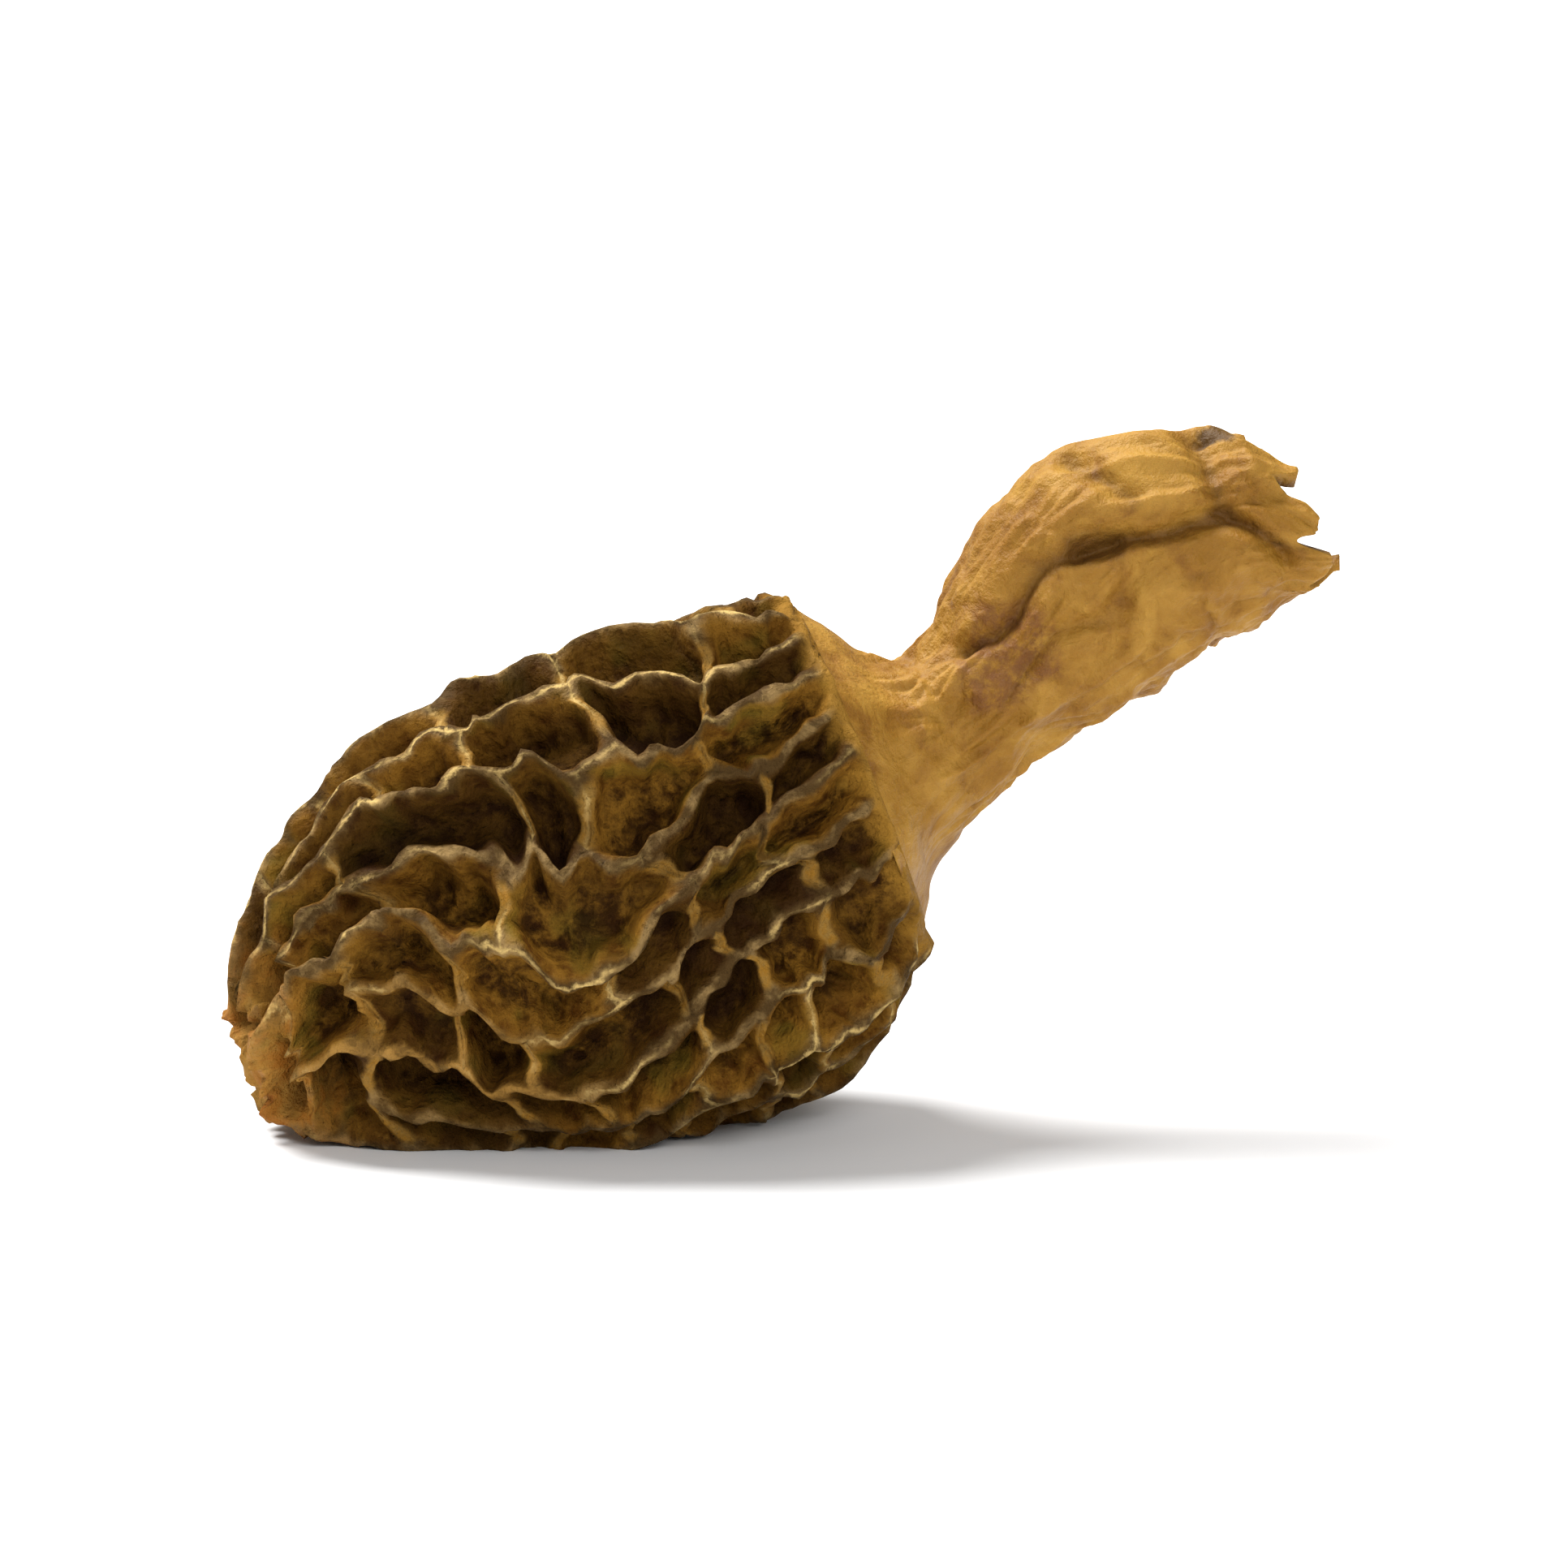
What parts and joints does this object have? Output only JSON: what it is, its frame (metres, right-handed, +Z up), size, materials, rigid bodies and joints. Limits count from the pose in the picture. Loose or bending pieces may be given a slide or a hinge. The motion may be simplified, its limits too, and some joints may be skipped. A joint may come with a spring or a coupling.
{
  "type": "dried morel mushroom",
  "caption": "Dried morel lying on its side, with a brown cap netted with ridges and pits and a golden, torn, hollow stem.",
  "frame": {"origin": "middle of the morel's box in plan, on the surface that it rests on", "axes": "+Z up, +X from the cap's tip to the stem's torn end, +Y to the far side in the picture"},
  "size_m": [0.0472, 0.021, 0.0293],
  "materials": {
    "cap": "matt",
    "stem": "satin"
  },
  "bodies": {
    "root": {"cap": "cap", "stem": "stem"}
  },
  "joints": []
}
